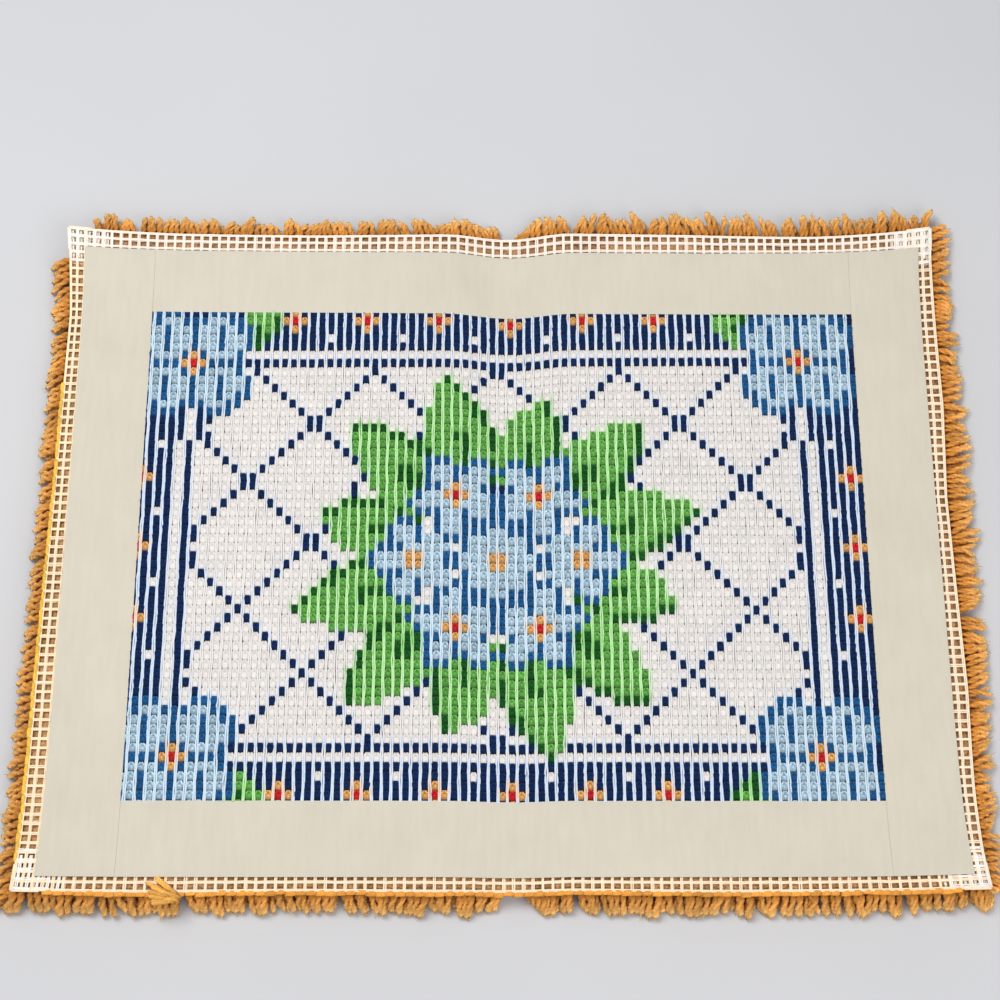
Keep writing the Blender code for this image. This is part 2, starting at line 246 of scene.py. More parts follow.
def arrays_of(model):
    """Points and face groups of a modelled shape, which is then removed.

    Extrude can order them differently from run to run, so both are sorted.
    """
    points = np.array([vert.co[:] for vert in model.data.vertices])
    order = np.lexsort(np.round(points, 6).T)
    rank = np.argsort(order)
    faces = {}
    for polygon in sorted(model.data.polygons, key=lambda face: sorted(rank[list(face.vertices)])):
        faces.setdefault(len(polygon.vertices), []).append(rank[list(polygon.vertices)])
    bpy.data.objects.remove(model)
    return points[order], [np.array(faces[size]) for size in sorted(faces)]


def copies(points, face_arrays, count):
    """Face arrays for count joined copies of one shape."""
    return [
        (group[None] + np.arange(count)[:, None, None] * len(points)).reshape(-1, group.shape[1])
        for group in face_arrays
    ]


def apply_place():
    """Put the selected object's place, turn and size into its mesh."""
    bpy.ops.object.transform_apply(location=True, rotation=True, scale=True)


# %% [markdown]
# ## Colours of the yarn
#
# The colours are written as they are seen, in display values, and turned to the linear
# values that a shader reads.

# %% Yarn colours
def linear(red, green, blue):
    """Linear colour from display values of 0 to 255."""
    display = np.array([red, green, blue]) / 255
    return np.where(display <= 0.04045, display / 12.92, ((display + 0.055) / 1.055) ** 2.4)


YARN = {
    "white": (224, 218, 213),
    "navy": (6, 38, 84),
    "blue": (26, 88, 140),
    "pale": (174, 200, 216),
    "green": (98, 168, 74),
    "dark": (16, 86, 24),
    "red": (206, 30, 34),
    "orange": (222, 162, 94),
    "gold": (246, 168, 58),
}
NAMES = list(YARN)
TABLE = np.array([linear(*seen) for seen in YARN.values()])

# %% [markdown]
# ## The chart
#
# A latch hook chart is a grid with one knot to a square. It could be a painted picture,
# but a rule for each motif is shorter and stays even: rings counted from the inner line
# give the border, turning points the trellis, and distances the rosettes and leaves.

# %% Border and trellis
LINE_LEFT, LINE_RIGHT, LINE_BACK, LINE_FRONT = 14, 81, 15, 59
column, row = np.meshgrid(np.arange(COLUMNS), np.arange(ROWS))
chart = np.full((ROWS, COLUMNS), NAMES.index("gold"))


def paint(where, name):
    """Colour the chosen squares of the chart."""
    chart[where] = NAMES.index(name)


ring = np.maximum.reduce([
    LINE_LEFT - column, column - LINE_RIGHT, LINE_BACK - row, row - LINE_FRONT,
])
paint(ring <= 7, "navy")
paint(ring < 0, "white")
paint(ring == 1, "white")

# Each zigzag: the rows where it turns, and its columns there.
TURNS = (16, 22, 23, 29, 30, 36, 37, 44, 51, 58)
ZIGZAGS = (
    (TURNS, (21, 27, 27, 21, 21, 27, 27, 20, 27, 20)),
    ((17, 21, 22), (20, 16, 16)),
    ((24, 25, 29, 30, 35, 36), (16, 16, 20, 20, 15, 15)),
    ((38, 39, 44, 49, 50), (15, 15, 20, 15, 15)),
    ((52, 55), (15, 18)),
    ((16, 22, 23, 28, 29, 36, 37, 44, 51, 58), (34, 28, 28, 33, 33, 28, 28, 34, 27, 34)),
    (TURNS, (34, 40, 40, 34, 34, 40, 40, 34, 41, 34)),
    (TURNS, (47, 41, 41, 47, 47, 41, 41, 47, 41, 47)),
)
MIRROR = LINE_LEFT + LINE_RIGHT
for turn_rows, turn_columns in ZIGZAGS:
    rows_down = np.arange(turn_rows[0], turn_rows[-1] + 1)
    stitch = np.round(np.interp(rows_down, turn_rows, turn_columns)).astype(int)
    chart[rows_down, stitch] = NAMES.index("navy")
    chart[rows_down, MIRROR - stitch] = NAMES.index("navy")

edge_column = np.minimum(column, MIRROR - column)
step = np.abs(row - 22) <= 2
paint(step & (edge_column == 13), "navy")
paint(step & (edge_column == 14), "white")
paint(step & (edge_column == 15), "navy")

REPEAT = 8
across_rows = (row < LINE_BACK) | (row > LINE_FRONT)
along_columns = (column < LINE_LEFT) | (column > LINE_RIGHT)
# Each band: its squares, the count along it, its first and last floret, its first dot.
BANDS = (
    (across_rows & (np.abs(column - MIDDLE_COLUMN) < 34), column, 25, 73, 5),
    (along_columns & (np.abs(row - MIDDLE_ROW) < 23), row, 29, 45, 1),
)
for band, along, first, last, dot in BANDS:
    paint((ring == 3) & band & (along % REPEAT == dot), "white")
    place = (along - first) % REPEAT
    centre_line = (place == 0) & (along >= first) & (along <= last)
    beside = np.isin(place, (1, REPEAT - 1)) & (along >= first - 1) & (along <= last + 1)
    paint((ring == 5) & band & beside, "orange")
    paint(np.isin(ring, (4, 6)) & band & centre_line, "orange")
    paint((ring == 5) & band & centre_line, "red")


# %% Rosettes and leaves
def heart(at_column, at_row):
    """A red square with orange round it."""
    away = np.abs(column - at_column) + np.abs(row - at_row)
    paint(away < 1.8, "orange")
    paint(away < 0.8, "red")


def blossom(at_column, at_row, radius, petals, turn):
    """A round flower with scalloped petals, a blue outline and a warm heart."""
    dx, dy = column - at_column, row - at_row
    distance, angle = np.hypot(dx, dy), np.arctan2(dy, dx)
    edge = radius * (0.84 + 0.16 * np.cos(petals * (angle - turn)))
    paint(distance <= edge, "pale")
    paint((distance <= edge) & (distance > edge - 1.0), "blue")
    split = np.abs(np.sin(petals / 2 * (angle - turn))) > 0.90
    paint(split & (distance < edge) & (distance > 1.6), "blue")
    heart(at_column, at_row)


def quatrefoil(at_column, at_row, spread, radius):
    """Four round petals in a square, outlined in blue."""
    centres = [(at_column + h * spread, at_row + v * spread) for h, v in product((-1, 1), repeat=2)]
    for name, size in (("blue", radius + 1.1), ("pale", radius)):
        for petal_column, petal_row in centres:
            paint(np.hypot(column - petal_column, row - petal_row) < size, name)
    for petal_column, petal_row in centres:
        vein = (np.abs(column - petal_column) < 0.6) & (np.abs(row - petal_row) < radius * 0.62)
        paint(vein & (np.abs(row - at_row) > 1.2), "blue")
    cross = (np.abs(column - at_column) < 0.6) | (np.abs(row - at_row) < 0.6)
    away = np.hypot(column - at_column, row - at_row)
    paint(cross & (away > 2.5) & (away < spread + radius), "blue")
    heart(at_column, at_row)


def leaf(at_column, at_row, angle, start, end, half):
    """A pointed leaf along one ray, darker along its rib and one edge."""
    dx, dy = column - at_column, row - at_row
    run = dx * math.cos(angle) + dy * math.sin(angle)
    off = -dx * math.sin(angle) + dy * math.cos(angle)
    share = np.clip((run - start) / (end - start), 0, 1)
    width = half * np.sin(math.pi * share**0.8) ** 0.8
    body = (run > start) & (run < end) & (np.abs(off) < width)
    paint(body, "green")
    paint(body & (off > width - 1.2), "dark")
    paint(body & (np.abs(off) < 0.75) & (share < 0.5), "dark")


BOUQUET_CENTRE = (MIDDLE_COLUMN, 38.5)
LEAVES, BLOSSOMS = 12, 6
for index in range(LEAVES):
    turn = 2 * math.pi * (index + 0.5) / LEAVES
    leaf(*BOUQUET_CENTRE, turn, 8.0, 23.0 if index % 3 else 20.0, 3.9)
for index in range(BLOSSOMS):
    turn = 2 * math.pi * index / BLOSSOMS
    blossom_column = BOUQUET_CENTRE[0] + 9.0 * math.cos(turn)
    blossom(blossom_column, BOUQUET_CENTRE[1] + 8.6 * math.sin(turn), 5.4, 5, turn)
blossom(*BOUQUET_CENTRE, 5.6, 8, 0.0)

for side, across in ((1, 14), (-1, MIRROR - 14)):
    for end, down in ((1, 15), (-1, 60)):
        leaf(across, down, math.atan2(-end * 0.62, side), 5.5, 11.5, 2.3)
        leaf(across, down, math.atan2(end, -side * 0.62), 3.5, 8.0, 2.0)
        quatrefoil(across, down, 2.9, 2.3)
counts = {name: int((chart == NAMES.index(name)).sum()) for name in NAMES}
print("squares of each colour", counts)

# %% [markdown]
# ## Finishes
#
# Wool and cotton are dull: rough, with a little sheen, and all their life is in small
# changes of tone and in relief. Colour comes from a point attribute, so one finish
# serves every yarn, and the fine relief from noise on Object coordinates.

# %% Node helpers
def set_inputs(node, values):
    """Set several inputs of a node by name."""
    for name, value in values.items():
        node.inputs[name].default_value = value


def add_node(tree, kind, values=None):
    """A new shader node with some of its inputs set."""
    made = tree.nodes.new("ShaderNode" + kind)
    set_inputs(made, values or {})
    return made


def new_finish(name, roughness, sheen):
    """A material with a Principled shader and its node tree."""
    finish = bpy.data.materials.new(name)
    finish.use_nodes = True
    tree = finish.node_tree
    shader = tree.nodes["Principled BSDF"]
    set_inputs(shader, {"Roughness": roughness, "Specular IOR Level": 0.15})
    set_inputs(shader, {"Sheen Weight": sheen, "Sheen Roughness": 0.5})
    return finish, tree, shader


def noise(tree, scale, detail=3.0, stretch=(1, 1, 1)):
    """Noise on Object coordinates; scale is in waves to the metre."""
    coordinates = add_node(tree, "TexCoord")
    mapping = add_node(tree, "Mapping", {"Scale": stretch})
    made = add_node(tree, "TexNoise", {"Scale": scale, "Detail": detail})
    tree.links.new(coordinates.outputs["Object"], mapping.inputs["Vector"])
    tree.links.new(mapping.outputs["Vector"], made.inputs["Vector"])
    return made.outputs["Fac"]


def ramp(tree, factor, low, high):
    """A number mapped from noise's usual range to low and high."""
    values = {"From Min": 0.3, "From Max": 0.7, "To Min": low, "To Max": high}
    made = add_node(tree, "MapRange", values)
    tree.links.new(factor, made.inputs["Value"])
    return made.outputs["Result"]


def shaded(tree, colour_socket, *factors):
    """Multiply a colour by several numbers."""
    for factor in factors:
        made = add_node(tree, "VectorMath")
        made.operation = "SCALE"
        tree.links.new(colour_socket, made.inputs[0])
        tree.links.new(factor, made.inputs["Scale"])
        colour_socket = made.outputs[0]
    return colour_socket


def relief(tree, shader, height, distance):
    """Bump from a height socket, in metres."""
    made = add_node(tree, "Bump", {"Distance": distance})
    tree.links.new(height, made.inputs["Height"])
    tree.links.new(made.outputs["Normal"], shader.inputs["Normal"])


# %% Yarn and canvas thread
def yarn_finish(name, fibre, patch, bump, sheen, stretch=(1, 1, 1)):
    """Coloured yarn: the attribute's colour with fibre streaks and soft patches."""
    finish, tree, shader = new_finish(name, 0.85, sheen)
    attribute = add_node(tree, "Attribute")
    attribute.attribute_name = "yarn"
    fine = noise(tree, 1300, 3.0, stretch)
    broad = noise(tree, 45, 2.0)
    streaks, patches = ramp(tree, fine, 1 - fibre, 1 + fibre), ramp(tree, broad, 1 - patch, 1 + patch)
    colour = shaded(tree, attribute.outputs["Color"], streaks, patches)
    tree.links.new(colour, shader.inputs["Base Color"])
    relief(tree, shader, fine, bump)
    return finish


ACROSS = (0.35, 1.0, 0.6)
knot_wool = yarn_finish("knot_wool", 0.36, 0.04, 0.0008, 0.04, ACROSS)
ground_wool = yarn_finish("ground_wool", 0.05, 0.02, 0.0003, 0.02, ACROSS)
rim_wool = yarn_finish("rim_wool", 0.24, 0.10, 0.0008, 0.06)
pressed_wool = yarn_finish("pressed_wool", 0.42, 0.08, 0.0020, 0.05, (0.28, 0.28, 0.28))
canvas_thread = yarn_finish("canvas_thread", 0.08, 0.03, 0.0002, 0.03)

# %% [markdown]
# ## Knot backs
#
# Each tuft is one length of yarn hooked round a pair of weft threads. From the back a
# knot shows as two strands side by side. Its rounded upper end covers the lower end of
# the knot above, like a tile. A round profile drawn over the weft in four extrusions
# gives that shape.

# %% Model one knot
KNOT_START = -0.00345
KNOT_STEPS = (
    (0.0014, 0.00130, 1.24),
    (0.0023, 0.00050, 1.06),
    (0.0018, 0.00030, 0.97),
    (0.0017, -0.00040, 0.60),
)
RING_Y = KNOT_START + np.cumsum([0.0] + [run for run, climb, grow in KNOT_STEPS])
bpy.ops.mesh.primitive_circle_add(
    vertices=8, radius=0.00232, fill_type="NGON",
    location=(0, KNOT_START, -0.0012), rotation=(math.pi / 2, 0, 0),
)
bpy.ops.object.mode_set(mode="EDIT")
bpy.ops.mesh.select_all(action="SELECT")
bpy.ops.transform.resize(value=(0.80, 1.0, 0.42))
for run, climb, grow in KNOT_STEPS:
    bpy.ops.mesh.extrude_region_move(TRANSFORM_OT_translate={"value": (0, run, climb)})
    bpy.ops.transform.resize(value=(grow, 1, grow))
bpy.ops.mesh.select_all(action="SELECT")
bpy.ops.mesh.normals_make_consistent(inside=False)
bpy.ops.object.mode_set(mode="OBJECT")
apply_place()
knot_points, knot_faces = arrays_of(bpy.context.object)
print("points in one knot", len(knot_points), "rings", [round(y * 1000, 2) for y in RING_Y])

# %% [markdown]
# The line along the top is now pressed down to part the two strands, and deepest in a
# notch at the shoulder, where they go under the weft. The notch and the legs beside it
# get painted shade, darker than the rest. A quad that joins the two is turned to start
# at the notch, so that it splits the same way on both sides and the painted dark arch is even.

# %% Press the strands apart
NEAR = 0.0003
LEG_X = 0.0017
above_weft = knot_points[:, 2] > 0.0010
top_line = (np.abs(knot_points[:, 0]) < NEAR) & above_weft
beside_top = (np.abs(np.abs(knot_points[:, 0]) - LEG_X) < NEAR) & above_weft
shaded_notch = top_line & (np.abs(knot_points[:, 1] - RING_Y[3]) < NEAR)
shaded_legs = beside_top & (np.abs(knot_points[:, 1] - RING_Y[2]) < NEAR)
knot_points[:, 2] -= 0.00070 * top_line
knot_points[:, 2] -= 0.00030 * shaded_notch
for group in knot_faces:
    for index, face in enumerate(group):
        if shaded_notch[face].any() and shaded_legs[face].any():
            group[index] = np.roll(face, -int(shaded_notch[face].argmax()))
print("points pressed", int(top_line.sum()), "darkened", int((shaded_notch | shaded_legs).sum()))

# %% [markdown]
# White yarn is packed tight and hardly shows its strands, so its knots are wider and
# flatter, with only slight painted shade. Coloured knots stand up, with strong painted
# shade where they dive and a painted highlight on their crowns.

# %% Knots on the chart
# Painted light in the factors below: rings scale each ring of a knot, dark at its lower end and light
# on its crown; the notch and legs factors are painted shade.
WHITE_KNOT = {
    "shape": (1.16, 1.07, 0.52), "base": 0.0005, "rings": (0.96, 1.00, 1.02, 1.02, 0.98),
    "shaded_notch": 0.68, "shaded_legs": 0.88, "spread": 0.02, "finish": ground_wool,
}
COLOURED_KNOT = {
    "shape": (1.0, 1.0, 1.0), "base": 0.0009, "rings": (0.20, 0.62, 1.10, 1.28, 1.10),
    "shaded_notch": 0.26, "shaded_legs": 0.62, "spread": 0.07, "finish": knot_wool,
}
TUCK = 0.0008


def square_centre(at_column, at_row):
    """Flat x and y of a chart square."""
    x = (at_column - MIDDLE_COLUMN) * PITCH + PATTERN_X
    return x, (MIDDLE_ROW - at_row) * PITCH + PATTERN_Y


def knots(name, wanted, look):
    """Joined knot backs for the chosen squares of the field."""
    x, y = square_centre(column, row)
    chosen = wanted & in_window(x, y, PITCH * 0.6, PITCH * 0.5)
    centre = np.stack([x[chosen], y[chosen]], -1)
    count = len(centre)
    size = chance.normal(1.0, 0.03, (count, 1, 3)).clip(0.92, 1.08)
    points = knot_points[None] * size * np.array(look["shape"])
    points[..., 0] += points[..., 1] * chance.normal(0, 0.04, (count, 1))
    points[..., :2] += centre[:, None] + chance.normal(0, 0.00012, (count, 1, 2))
    points[..., 2] += FIELD_CANVAS_TOP + look["base"] + chance.normal(0, 0.00008, (count, 1))
    points = settled(points)
    points[..., 0] = points[..., 0].clip(INNER["left"] - TUCK, INNER["right"] + TUCK)
    points[..., 1] = points[..., 1].clip(INNER["front"] - TUCK, INNER["back"] + TUCK)
    clear = in_window(points[..., 0], points[..., 1])
    points[..., 2] = np.where(clear, points[..., 2], points[..., 2].clip(None, BINDING_BASE - 0.0003))
    tone = chance.normal(1.0, look["spread"], (count, 1)).clip(0.84, 1.16)
    # Painted shade and highlight: each point is scaled by its ring's factor, and darkened at the notch
    # and the legs.
    light = np.interp(knot_points[:, 1], RING_Y, look["rings"])
    light = light * np.where(shaded_notch, look["shaded_notch"], 1.0) * np.where(shaded_legs, look["shaded_legs"], 1.0)
    colours = (TABLE[chart[chosen]] * tone)[:, None] * light[None, :, None]
    groups = [(laid(points).reshape(-1, 3), copies(knot_points, knot_faces, count))]
    return mesh_piece(name, groups, look["finish"], colours.reshape(-1, 3))


is_white = chart == NAMES.index("white")
ground = knots("knots_ground", is_white, WHITE_KNOT)
knots("knots_border", ~is_white & (ring >= 0), COLOURED_KNOT)
knots("knots_bouquet", ~is_white & (ring < 0), COLOURED_KNOT)
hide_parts("knot_backs")

# %% [markdown]
# ## Canvas
#
# The canvas is an open mesh of double threads. In the field only the upright pairs show
# between the columns of knots. Round the rim the whole mesh shows, folded under as a
# hem: the short threads run out, turn down round the edge and come back below. Every
# thread is a thin tube along a path, and all of them are one joined piece.

# %% Upright pairs between the columns of knots
THREAD = 0.00054
PAIR = 0.00104
THREAD_TINT = {
    "white": (224, 219, 215),
    "navy": (207, 220, 237),
    "blue": (200, 218, 234),
    "pale": (202, 220, 231),
    "green": (184, 228, 164),
    "dark": (146, 206, 128),
    "red": (232, 192, 186),
    "orange": (234, 208, 180),
    "gold": (234, 208, 180),
}
TINTS = np.array([linear(*THREAD_TINT[name]) for name in NAMES])
field_rows = np.arange(8, 67)
canvas_groups, canvas_colours = [], []


def add_threads(paths, sides, across, colours, radius=THREAD):
    """Threads of the canvas: their tubes and one colour for each path point."""
    points, faces = tubes(paths, radius, sides, across)
    canvas_groups.append((laid(points), faces))
    canvas_colours.append(np.repeat(colours.reshape(-1, 3), sides, axis=0))


def thread_white(shape, tint=(250, 242, 235)):
    """The warm white of bare canvas, varied from thread to thread."""
    tone = chance.normal(1.0, 0.02, (shape[0], 1, 1)).clip(0.94, 1.04)
    return np.broadcast_to(linear(*tint) * tone, (*shape[:2], 3))


edges = np.arange(9, 90)
left_yarn = TINTS[chart[field_rows, edges[:, None] - 1]]
between_yarns = (left_yarn + TINTS[chart[field_rows, edges[:, None]]]) / 2
UPRIGHT = 0.00060
for hand in (-1, 1):
    x = (edges - MIDDLE_COLUMN - 0.5) * PITCH + PATTERN_X
    y = (MIDDLE_ROW - field_rows + 0.5) * PITCH + PATTERN_Y
    sway = chance.normal(0, 0.00016, (len(edges), len(field_rows)))
    common = 0.00022 * np.sin(field_rows * 1.3 + edges[:, None] * 2.1)
    path_x = x[:, None] + hand * UPRIGHT + sway + common
    dip = np.where((field_rows % 2 == 0) == (hand > 0), 0.00010, -0.00005)
    path = np.stack(np.broadcast_arrays(path_x, y, FIELD_CANVAS_TOP + 0.0013 + dip), -1)
    path = settled(path)
    path[..., 1] = path[..., 1].clip(INNER["front"] - 0.001, INNER["back"] + 0.001)
    outside = (path[..., 0] < INNER["left"]) | (path[..., 0] > INNER["right"])
    path[..., 2] -= 0.0008 * outside
    add_threads(path, 4, RIGHT + UP, between_yarns, UPRIGHT * 1.36)

# %% [markdown]
# The weft pairs lie under the knots. Their points are close together over the fold, so
# that they bend with it and don't bridge it.

# %% Weft pairs under the knots
UNDER_BINDING = 0.004
FOLD_SPAN = 0.055
weft_x = np.concatenate([
    (INNER["left"] - UNDER_BINDING, -0.155),
    np.linspace(FOLD_X - FOLD_SPAN, FOLD_X + FOLD_SPAN, 12),
    (0.160, INNER["right"] + UNDER_BINDING),
])
for hand in (-1, 1):
    weft_y = (MIDDLE_ROW - field_rows) * PITCH + PATTERN_Y + hand * PAIR / 2
    shows = (weft_y > INNER["front"] - UNDER_BINDING) & (weft_y < INNER["back"] + UNDER_BINDING)
    weft_y = weft_y[shows]
    path = np.stack(np.broadcast_arrays(weft_x[None], weft_y[:, None], FIELD_CANVAS_TOP + 0.0002), -1)
    add_threads(settled(path), 4, BACK + UP, thread_white(path.shape))

# %% [markdown]
# At the rim the long threads weave over and under the short ones. Each side is given a
# slightly different warm white.

# %% Rim mesh with its folded hem
LAYER_DROP = 0.0011
TOP_LAYER = HEM_TOP - 0.0006
RIM_WHITE = {
    "front": (245, 224, 194),
    "back": (249, 234, 220),
    "left": (248, 228, 194),
    "right": (247, 228, 200),
}
# Each side: outwards, along, distance of the edge, half its length, meshes along it.
sides_of_rug = {
    "front": (-BACK, RIGHT, HALF_DEPTH, HALF_WIDTH, COLUMNS),
    "back": (BACK, RIGHT, HALF_DEPTH, HALF_WIDTH, COLUMNS),
    "left": (-RIGHT, BACK, HALF_WIDTH, HALF_DEPTH, ROWS),
    "right": (RIGHT, BACK, HALF_WIDTH, HALF_DEPTH, ROWS),
}
# One short thread: distance from the edge and level below the top layer at each point.
SHORT_INWARD = np.array([2.75, 2.0, 1.2, 0.5, 0.14, 0.02, 0.14, 0.8, 2.0]) * PITCH
SHORT_LEVEL = np.array([
    0, 0, 0, 0, -0.0001, -0.5 * LAYER_DROP, -0.95 * LAYER_DROP, -LAYER_DROP, -LAYER_DROP,
])


def short_threads(outward, along, edge, half, cells):
    """Threads that run out to the fold, turn down and come back below."""
    run = np.arange(cells + 1) * PITCH - half
    slip = chance.normal(0.0002, 0.0003, len(run))
    made = []
    for hand in (-1, 1):
        offset = run + hand * PAIR / 2 + chance.normal(0, 0.0001, len(run))
        shift = offset[:, None] + slip[:, None] * (SHORT_LEVEL < -0.0003)
        path = along * shift[..., None] + outward * (edge - SHORT_INWARD)[None, :, None]
        made.append(path + UP * (TOP_LAYER + SHORT_LEVEL)[None, :, None])
    return np.concatenate(made)


def long_threads(outward, along, edge, half, cells, drop=0.0, lines=(0, 1, 2)):
    """Threads that run along the rim, over and under the short ones."""
    run = np.linspace(-half, half, cells + 1)
    made = []
    for line in lines:
        wave = chance.normal(0, 0.00018, len(run)) * (line > 0)
        for hand in (-1, 1):
            inward = line * PITCH + hand * PAIR / 2 + (PAIR * 0.75 if line == 0 else 0)
            weave = 0.00016 * np.where(np.arange(len(run)) % 2, 1, -1) * hand
            place = outward * (edge - inward - wave)[:, None] + along * run[:, None]
            made.append(place + UP * (TOP_LAYER + weave - drop)[:, None])
    return np.array(made)


for name, side in sides_of_rug.items():
    outward, along = side[:2]
    short, long = short_threads(*side), long_threads(*side)
    lower = long_threads(*side, drop=LAYER_DROP, lines=(1, 2))
    for paths, across in ((short, along), (long, outward), (lower, outward)):
        white = thread_white(paths.shape, RIM_WHITE[name])
        add_threads(wandered(paths), 5, across, white, THREAD * 1.1)
    print(name, "rim threads", len(short) + len(long) + len(lower))

# %% [markdown]
# At a corner two hems lie on each other, so three more layers of short threads are laid
# there, each slipped a little.

# %% More layers of canvas at each corner
CORNER_CELLS = 4
CORNER_DROPS = (-0.0004, 0.0016, 0.0026)
for side_x, side_y, drop in product((-1, 1), (-1, 1), CORNER_DROPS):
    slip = chance.uniform(-0.40, 0.40, 2) * PITCH
    for axis, hand in product((0, 1), (-1, 1)):
        cells = (np.arange(CORNER_CELLS + 1) + 0.12) * PITCH + slip[axis] + hand * PAIR / 2
        run = np.linspace(0.0002, (CORNER_CELLS - 0.3) * PITCH, 7)
        line, reach = np.meshgrid(cells.clip(0.0004, None), run, indexing="ij")
        line = line + chance.normal(0, 0.00015, line.shape)
        from_side, from_end = (line, reach) if axis == 0 else (reach, line)
        height = TOP_LAYER - drop + chance.normal(0, 0.0001, line.shape)
        x, y = side_x * (HALF_WIDTH - from_side), side_y * (HALF_DEPTH - from_end)
        if drop < 0:
            height -= 0.0004 * (side_x * x < OUTER["right"])
        path = wandered(np.stack([x, y, height], -1))
        add_threads(path, 4, (RIGHT, BACK)[axis], thread_white(path.shape))

canvas_mesh = mesh_piece(
    "canvas_mesh", canvas_groups, canvas_thread, np.concatenate(canvas_colours),
)
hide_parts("canvas")

# %% [markdown]
# ## Binding
#
# Four strips of smooth cotton are sewn flat over the hem. Each is a thin cloth: a grid
# of points with a soft swell, given its thickness by Solidify, so that its edges and
# the creases at the middle fold are real.

# %% Cotton finish
def cotton_finish():
    """Cream cotton in a fine plain weave."""
    finish, tree, shader = new_finish("cream_cotton", 0.8, 0.1)
    coordinates = add_node(tree, "TexCoord")
    heights = []
    for axis in ("X", "Y"):
        wave = add_node(tree, "TexWave", {"Scale": 420.0, "Distortion": 1.2})
        wave.bands_direction = axis
        tree.links.new(coordinates.outputs["Object"], wave.inputs["Vector"])
        heights.append(wave.outputs["Fac"])
    weave = add_node(tree, "Math")
    weave.operation = "ADD"
    tree.links.new(heights[0], weave.inputs[0])
    tree.links.new(heights[1], weave.inputs[1])
    base = add_node(tree, "RGB")
    base.outputs[0].default_value = (*linear(207, 199, 181), 1)
    broad = ramp(tree, noise(tree, 22, 3.0), 0.97, 1.02)
    slub = ramp(tree, noise(tree, 260, 2.0, (1.0, 0.15, 1.0)), 0.975, 1.015)
    tree.links.new(shaded(tree, base.outputs[0], broad, slub), shader.inputs["Base Color"])
    relief(tree, shader, weave.outputs[0], 0.00008)
    return finish


cotton = cotton_finish()
STRIP_STEP = 0.0035


def strip(side, low, high):
    """One binding strip between two flat corners, swollen, creased and thickened."""
    size = (high[0] - low[0], high[1] - low[1])
    bpy.ops.mesh.primitive_grid_add(
        x_subdivisions=round(size[0] / STRIP_STEP), y_subdivisions=round(size[1] / STRIP_STEP),
        size=1.0, location=((low[0] + high[0]) / 2, (low[1] + high[1]) / 2, BINDING_TOP),
    )
    piece = bpy.context.object
    piece.name = piece.data.name = f"strip_{side}"
    piece.scale = (*size, 1)
    apply_place()
    flat = np.array([vert.co[:] for vert in piece.data.vertices])
    x, y = flat[:, 0], flat[:, 1]
    swell = 0.00018 * np.sin(x * 95 + 2.0 * np.sin(y * 31)) * np.sin(y * 83 + 1.3)
    crease = 0.0
    for place, lean in ((FOLD_X - 0.012, 0.10), (FOLD_X + 0.006, -0.06), (FOLD_X + 0.019, 0.03)):
        crease = crease - 0.00035 * np.exp(-(((x - place - lean * (np.abs(y) - 0.21)) / 0.0022) ** 2))
    edge = np.minimum.reduce([x - low[0], high[0] - x, y - low[1], high[1] - y])
    flat[:, 2] += swell + crease - 0.0004 * np.exp(-edge / 0.0012)
    piece.data.vertices.foreach_set("co", laid(flat).astype(np.float32).ravel())
    thick = piece.modifiers.new("thickness", "SOLIDIFY")
    thick.thickness = 0.0006
    thick.offset = -1
    bpy.ops.object.modifier_apply(modifier="thickness")
    bpy.ops.object.shade_smooth_by_angle(angle=math.radians(50))
    piece.data.materials.append(cotton)
    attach(piece, "root")
    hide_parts(f"binding_{side}")
    print(piece.name, "cut", [round(length * 1000, 1) for length in size], "mm")


from_x, to_x = INNER["left"] + SEAM, INNER["right"] - SEAM
strip("left", (OUTER["left"], OUTER["front"]), (INNER["left"], OUTER["back"]))
strip("right", (INNER["right"], OUTER["front"]), (OUTER["right"], OUTER["back"]))
strip("front", (from_x, OUTER["front"]), (to_x, INNER["front"]))
strip("back", (from_x, INNER["back"]), (to_x, OUTER["back"]))

# %% [markdown]
# ## Pile
#
# The pile is cut yarn, two ends from every knot. Under the rug it is pressed flat, so a
# lumpy body with short tufts stands for it. At the rim the outer rows bend out past the
# canvas and fall to the floor, and there each end is its own piece of twisted yarn,
# laid along a path that starts under the canvas. Neighbours cling in small locks.

# %% Measures of the rim strands
STRAND_RADIUS = 0.00290
REACH = {
    "left": (16.0, 15.5, 15.0, 14.5, 14.5, 15.5, 16.0, 15.0),
    "right": (15.5, 16.5, 20.5, 22.5, 23.0, 21.0, 17.5, 17.5),
    "front": (13.0, 13.5, 12.0, 13.5, 13.0, 13.5, 13.5, 12.5),
    "back": (16.5, 18.0, 17.0, 17.0, 19.5, 22.5, 22.5, 20.5),
}
REST = {"left": 2.6, "right": 3.2, "front": 2.6, "back": 7.5}
LEAN = {"left": -0.22, "right": 0.38, "front": 0.02, "back": -0.05}
SPARE = {"left": (0.0, 0.026), "right": (0.002, 0.002), "front": (0.002, 0.004), "back": (0.024, 0.006)}
BLUNT = ((0.0, 0.25, 0.6, 0.88, 0.96, 1.0), (0.55, 0.85, 1.0, 1.10, 1.02, 0.60))
LEAFY = ((0.0, 0.25, 0.6, 0.80, 0.93, 1.0), (0.50, 0.85, 1.10, 1.02, 0.74, 0.26))
CLING = {"left": 0.45, "right": 0.80, "front": 0.90, "back": 0.90}
DENSITY = {"left": 0.84, "right": 1.16, "front": 0.90, "back": 1.00}
WIDTH = {"left": 1.0, "right": 0.84, "front": 1.0, "back": 0.95}
